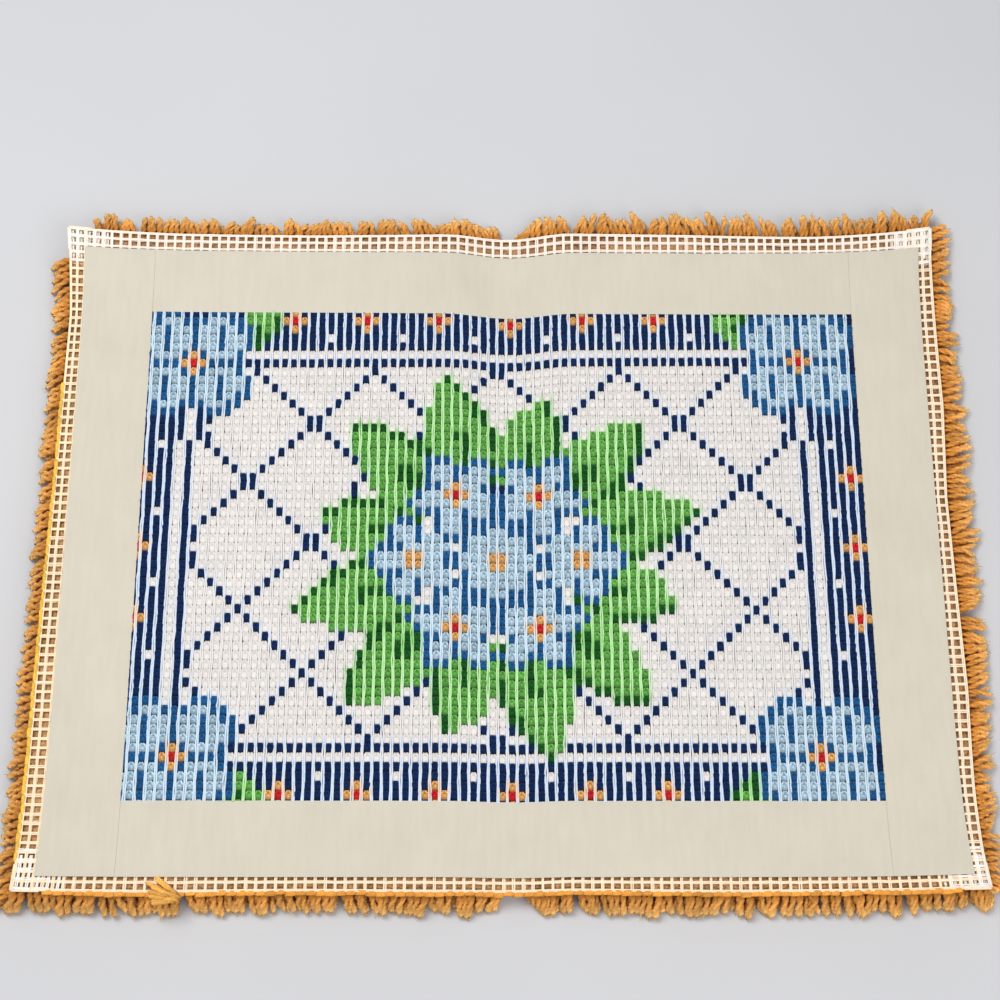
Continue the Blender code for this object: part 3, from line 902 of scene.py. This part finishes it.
# Each row: depth under the canvas, height, share of the full reach, strands to a mesh.
ROWS_OF_STRANDS = (
    (0.0030, 0.0162, 1.00, 1.45),
    (0.0070, 0.0120, 0.84, 1.20),
    (0.0110, 0.0070, 0.62, 0.95),
)
LOCK_LENGTH = 0.0150
ALONG_POINTS = 9
# Root to tip the gold grows lighter: painted shade at the roots under the canvas; at the tips partly
# the paler frayed ends, partly painted light.
ROOT_GOLD, TIP_GOLD = linear(232, 144, 46), linear(255, 198, 116)
STRAND_SIDES = 8
HAIR_RADII = np.array([0.00042, 0.00034, 0.00010])
print("longest reach in mm", max(REACH["right"]))


# %% Paths, radii and loose fibres
def strand_paths(name, depth_in, height, share, density):
    """Paths of one row of strands on one side of the rug."""
    outward, along, edge, half, cells = sides_of_rug[name]
    count = int(cells * density * DENSITY[name])
    spare = SPARE[name]
    run = np.linspace(-half + spare[0], half - spare[1], count) + chance.normal(0, 0.0009, count)
    if name in ("front", "back"):
        run = run[np.abs(run - FOLD_X) > 0.003]
    count = len(run)
    lock = np.round(run / LOCK_LENGTH + chance.normal(0, 0.2, count))
    centre = (lock + 0.35 * np.sin(lock * 12.9898)) * LOCK_LENGTH
    cling = CLING[name]
    lean = LEAN[name] + 0.26 * cling * np.sin(lock * 39.425) + chance.normal(0, 0.10, count)
    reach = np.interp(run / half, STATIONS, REACH[name]) / 1000
    reach = reach * share * (1 + 0.10 * cling * np.sin(lock * 78.233 + 1.0))
    reach = reach * chance.normal(1.0, 0.07, count).clip(0.8, 1.1)
    tip = run + 0.34 * cling * (centre - run) + lean * reach
    if name in ("front", "back"):
        parting = np.exp(-(((run - FOLD_X) / 0.016) ** 2))
        tip = tip + np.sign(run - FOLD_X) * parting * 0.008
        reach = reach * (1 - 0.30 * parting)
    tip = tip + np.sign(run) * 0.006 * np.exp(-(((half - np.abs(run)) / 0.020) ** 2))
    t = np.linspace(0, 1, ALONG_POINTS)[None]
    out = -depth_in + (depth_in + reach[:, None]) * t
    side = run[:, None] + (tip - run)[:, None] * t**1.5
    side = side + 0.0005 * np.sin(t * 5 + chance.uniform(0, 6, (count, 1)))
    droop = t ** chance.uniform(1.6, 2.6, (count, 1))
    low = (REST[name] * share + chance.uniform(-0.6, 0.9, (count, 1))) / 1000
    z = height + (low - height) * droop + chance.normal(0, 0.0003, (count, 1)) * (1 - droop)
    return outward * (edge + out)[..., None] + along * side[..., None] + UP * z[..., None]


def strand_radii(count, profile):
    """A strand is thin at its knot and opens towards its cut end."""
    shape = np.interp(np.linspace(0, 1, ALONG_POINTS), *profile)
    return STRAND_RADIUS * shape[None] * chance.normal(1.0, 0.09, (count, 1)).clip(0.78, 1.18)


def frayed(paths, hairs):
    """Thin loose fibres at the cut ends."""
    count = len(paths)
    step = paths[:, None, -1] - paths[:, None, -3]
    start = paths[:, None, -3] + chance.normal(0, 0.0009, (count, hairs, 3))
    step = step * chance.uniform(1.0, 1.3, (count, hairs, 1))
    end = start + step + chance.normal(0, 0.0008, (count, hairs, 3))
    start[..., 2] = start[..., 2].clip(0.0006, None)
    end[..., 2] = end[..., 2].clip(0.0004, None)
    bend = (start + end) / 2 + chance.normal(0, 0.0003, (count, hairs, 3))
    return np.stack([start, bend, end], 2).reshape(-1, 3, 3)


# %% Strands of all four sides
for name, (outward, along, *_) in sides_of_rug.items():
    groups, colours = [], []
    for depth_in, height, share, density in ROWS_OF_STRANDS:
        paths = strand_paths(name, depth_in, height, share, density)
        radii = strand_radii(len(paths), LEAFY if name == "right" else BLUNT) * WIDTH[name]
        thin = 0.80 if name == "front" else 0.62
        points, faces = tubes(paths, radii, STRAND_SIDES, along, plies=0.18, twist=8.0, squash=thin)
        points[:, 2] = points[:, 2].clip(0.0002, None)
        groups.append((laid(wandered(points), pile=True), faces))
        tone = chance.normal(1.0, 0.08, (len(paths), 1, 1, 1)).clip(0.80, 1.20)
        t = np.linspace(0, 1, ALONG_POINTS)[None, :, None, None]
        # Painted shade: darker towards the root, on the inner rows and in the grooves between plies;
        # the right side, which the lamps light less, gets painted extra light.
        groove_shade = 0.80 + 0.20 * np.cos(4 * math.pi * np.arange(STRAND_SIDES) / STRAND_SIDES)[:, None]
        shade = (0.72 + 0.62 * t) * (0.76 + 0.24 * share) * groove_shade * (1.16 if name == "right" else 1.0)
        colour = tone * shade * (ROOT_GOLD + (TIP_GOLD - ROOT_GOLD) * t**1.6)
        # A pale touch at the very tips: partly the frayed fibres, partly a painted highlight.
        colour = colour + linear(255, 232, 190) * 0.12 * t**8
        colours.append(colour.reshape(-1, 3))
        hair_paths = frayed(paths, 2 if share == 1.0 else 1)
        points, faces = tubes(hair_paths, HAIR_RADII, 3, along + UP)
        groups.append((laid(wandered(points), pile=True), faces))
        colours.append(linear(246, 190, 96) * chance.normal(1, 0.05, (len(points), 1)))
    strands = mesh_piece(f"rim_yarn_{name}", groups, rim_wool, np.concatenate(colours))
    if name == "front":
        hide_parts("pile")

# %% One lock folded back over the mesh
FOLDED_X = -0.222
FOLDED = 12
fan = np.linspace(-1, 1, FOLDED)[:, None]
t = np.linspace(0, 1, ALONG_POINTS)[None]
length = chance.uniform(0.013, 0.020, (FOLDED, 1))
lock_x = FOLDED_X + chance.uniform(-0.004, 0.004, (FOLDED, 1)) - length * t
lock_y = -HALF_DEPTH - 0.0042 + 0.0030 * fan + (0.0062 * fan + 0.0050) * t**1.2
lock_z = HEM_TOP + 0.0004 + 0.0016 * np.sin(math.pi * t**0.6) + chance.uniform(0, 0.0016, (FOLDED, 1))
paths = np.stack([lock_x, lock_y, lock_z], -1)
radii = strand_radii(FOLDED, LEAFY) * 0.66
points, faces = tubes(paths, radii, STRAND_SIDES, BACK, plies=0.13, twist=7.0, squash=0.9)
# Painted shade: the lock is darker at the end that comes from under the edge and lighter towards its
# tips.
tone = chance.normal(1.0, 0.12, (FOLDED, 1, 1)).clip(0.75, 1.2) * (0.70 + 0.45 * t[..., None])
colour = np.repeat((linear(240, 178, 88) * tone).reshape(-1, 3), STRAND_SIDES, axis=0)
mesh_piece("folded_lock", [(laid(points), faces)], rim_wool, colour)

# %% [markdown]
# ## Loops over the fold
#
# On the left and front edges the last row of knots is hooked round the fold itself. A
# golden line of knot backs lies on the fold at the left, and just outside it in front.

# %% Golden loops on the left and front edges
# Each side: width and length beside a knot in the field, shift, drop, colour, extent.
LOOPS = {
    "left": (0.62, 1.04, 0.0002, 0.0001, (246, 196, 84), (-0.92, 0.50)),
    "front": (0.74, 1.12, 0.0012, 0.0007, (238, 162, 68), (-0.93, 0.93)),
}
loop_groups, loop_colours = [], []
for name, (thin, stretch, shift, drop, tint, (first, last)) in LOOPS.items():
    outward, along, edge, half, cells = sides_of_rug[name]
    stops = (np.arange(cells) + 0.5) * PITCH - half
    stops = stops[(stops > first * half) & (stops < last * half)]
    count = len(stops)
    local = knot_points[None] * chance.normal(1, 0.08, (count, 1, 3)).clip(0.8, 1.2)
    out = thin * local[..., 0] + edge + shift + chance.normal(0, 0.0003, (count, 1))
    side = stretch * local[..., 1] + stops[:, None] + chance.normal(0, 0.0003, (count, 1))
    height = local[..., 2] + TOP_LAYER - drop
    points = outward * out[..., None] + along * side[..., None] + UP * height[..., None]
    flip = np.linalg.det(np.stack([outward, along, UP])) < 0
    faces = [group[:, ::-1] if flip else group for group in knot_faces]
    loop_groups.append((laid(wandered(points)).reshape(-1, 3), copies(knot_points, faces, count)))
    tone = linear(*tint) * chance.normal(1, 0.07, (count, 1))
    loop_colours.append(np.repeat(tone, len(knot_points), axis=0))
mesh_piece("fold_loops", loop_groups, rim_wool, np.concatenate(loop_colours))

# %% [markdown]
# ## Pressed pile
#
# The body is a cube, subdivided and made lumpy. Under the field its top is raised and
# takes the chart's colours, dimmed as painted shade, because it shows between the knots.

# %% Pile body
BODY_INSET = 0.0008
BODY_MIDDLE = 0.012
BODY_CORNER = 0.016
bpy.ops.mesh.primitive_cube_add(size=1.0, location=(0, 0, 0.0105))
body = bpy.context.object
body.name = body.data.name = "pile_body"
body.scale = (2 * (HALF_WIDTH - BODY_INSET), 2 * (HALF_DEPTH - BODY_INSET), 0.0125)
apply_place()
bpy.ops.object.mode_set(mode="EDIT")
bpy.ops.mesh.select_all(action="SELECT")
bpy.ops.mesh.subdivide(number_cuts=44)
bpy.ops.object.mode_set(mode="OBJECT")
flat = np.array([vert.co[:] for vert in body.data.vertices])
past_x = np.clip(np.abs(flat[:, 0]) - HALF_WIDTH + BODY_CORNER, 0, None)
past_y = np.clip(np.abs(flat[:, 1]) - HALF_DEPTH + BODY_CORNER, 0, None)
drawn_in = 0.45 * (past_x * past_y / BODY_CORNER) * (flat[:, 2] < BODY_MIDDLE)
flat[:, :2] -= np.sign(flat[:, :2]) * drawn_in[:, None]
x, y = flat[:, 0], flat[:, 1]
in_field = in_window(x, y, 0.01) & (flat[:, 2] > BODY_MIDDLE)
flat[:, 2] += 0.0012 * in_field
lump = np.sin(x * 900) * np.sin(y * 870 + 0.7) + 0.5 * np.sin(x * 2100 + y * 1700)
flat[:, 2] += np.where(flat[:, 2] > BODY_MIDDLE, 0.0004, -0.0009) * lump
body.data.vertices.foreach_set("co", laid(wandered(flat), pile=True).astype(np.float32).ravel())
at_column = np.round((x - PATTERN_X) / PITCH + MIDDLE_COLUMN).astype(int).clip(0, COLUMNS - 1)
at_row = np.round(MIDDLE_ROW - (y - PATTERN_Y) / PITCH).astype(int).clip(0, ROWS - 1)
tone = linear(196, 150, 104) * chance.normal(1, 0.16, (len(flat), 1)).clip(0.6, 1.4)
tone = tone * np.interp(flat[:, 1:2], (-0.2, 0.2), (1.0, 0.78))
# Under the field: the chart's colours at 0.8, painted shade for the gaps between the knots.
tone = np.where(in_field[:, None], 0.8 * TABLE[chart[at_row, at_column]], tone)
colour_points(body.data, tone)
body.data.materials.append(pressed_wool)
body.data.shade_smooth()
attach(body, "root")
print("pile_body points", len(flat))

# %% Tufts under the rug, pointing down
bpy.ops.mesh.primitive_cone_add(
    vertices=4, radius1=0.0036, radius2=0.0016, depth=0.0050, location=(0, 0, -0.0025),
    rotation=(math.pi, 0, 0),
)
apply_place()
tuft_points, tuft_faces = arrays_of(bpy.context.object)
x, y = square_centre(column, row)
keep = (np.abs(x) < HALF_WIDTH - 0.002) & (np.abs(y) < HALF_DEPTH - 0.002)
centre = np.stack([x[keep], y[keep]], -1)
count = len(centre)
points = tuft_points[None] * chance.normal(1, 0.06, (count, 1, 3)).clip(0.85, 1.1)
slant = chance.normal(0, 0.35, (count, 1, 2))
plan = points[..., :2] - points[..., 2:] * slant + centre[:, None]
points = np.concatenate([plan, (points[..., 2:] + 0.0056).clip(0.0002, None)], -1)
colour = TABLE[chart[keep]] * chance.normal(1, 0.08, (count, 1)).clip(0.8, 1.2)
groups = [(laid(points, pile=True).reshape(-1, 3), copies(tuft_points, tuft_faces, count))]
colours = np.repeat(colour, len(tuft_points), axis=0)
mesh_piece("pile_tufts", groups, rim_wool, colours)

# %% [markdown]
# ## Floor, light and camera
#
# A pale floor and large soft lights, as in a plain studio. The camera stands in front
# of the rug and looks steeply down, a little turned, as the photograph does.

# %% Floor
bpy.ops.mesh.primitive_plane_add(size=30.0, location=(0, 0, 0))
floor = bpy.context.object
floor.name = "floor"
floor_finish, floor_tree, floor_shader = new_finish("pale_floor", 0.6, 0.0)
floor_base = add_node(floor_tree, "RGB")
floor_base.outputs[0].default_value = (0.56, 0.56, 0.57, 1)
floor_patch = ramp(floor_tree, noise(floor_tree, 3.0), 0.98, 1.02)
floor_tone = shaded(floor_tree, floor_base.outputs[0], floor_patch)
floor_tree.links.new(floor_tone, floor_shader.inputs["Base Color"])
floor.data.materials.append(floor_finish)

# %% Light
world = bpy.data.worlds.new("studio")
world.use_nodes = True
sky = world.node_tree.nodes["Background"]
set_inputs(sky, {"Color": (0.95, 0.97, 1.0, 1), "Strength": 0.57})
scene.world = world


def soft_light(name, place, size, power):
    """A square lamp that faces the rug."""
    lamp = bpy.data.lights.new(name, "AREA")
    lamp.shape = "SQUARE"
    lamp.size = size
    lamp.energy = power
    holder = bpy.data.objects.new(name, lamp)
    holder.location = place
    holder.rotation_euler = (-Vector(place)).to_track_quat("-Z", "Y").to_euler()
    scene.collection.objects.link(holder)


soft_light("key", (-0.7, 0.4, 1.9), 1.0, 26)
soft_light("fill", (1.1, -1.2, 1.4), 1.4, 14)

# %% Camera
CAMERA_TARGET = (-0.0035, 0.0362, 0.0)
CAMERA_DISTANCE = 1.4727
CAMERA_ELEVATION = math.radians(69.60)
CAMERA_YAW = math.radians(-2.43)
CAMERA_ROLL = math.radians(2.45)
SENSOR_WIDTH, FOCAL_SHARE = 36.0, 1.980
camera_data = bpy.data.cameras.new("camera")
camera_data.sensor_width = SENSOR_WIDTH
camera_data.lens = SENSOR_WIDTH * FOCAL_SHARE
camera = bpy.data.objects.new("camera", camera_data)
camera.matrix_world = (
    Matrix.Translation(CAMERA_TARGET)
    @ Matrix.Rotation(CAMERA_YAW, 4, "Z")
    @ Matrix.Rotation(math.pi / 2 - CAMERA_ELEVATION, 4, "X")
    @ Matrix.Rotation(CAMERA_ROLL, 4, "Z")
    @ Matrix.Translation((0, 0, CAMERA_DISTANCE))
)
scene.collection.objects.link(camera)
scene.camera = camera
scene.view_settings.view_transform = "Standard"
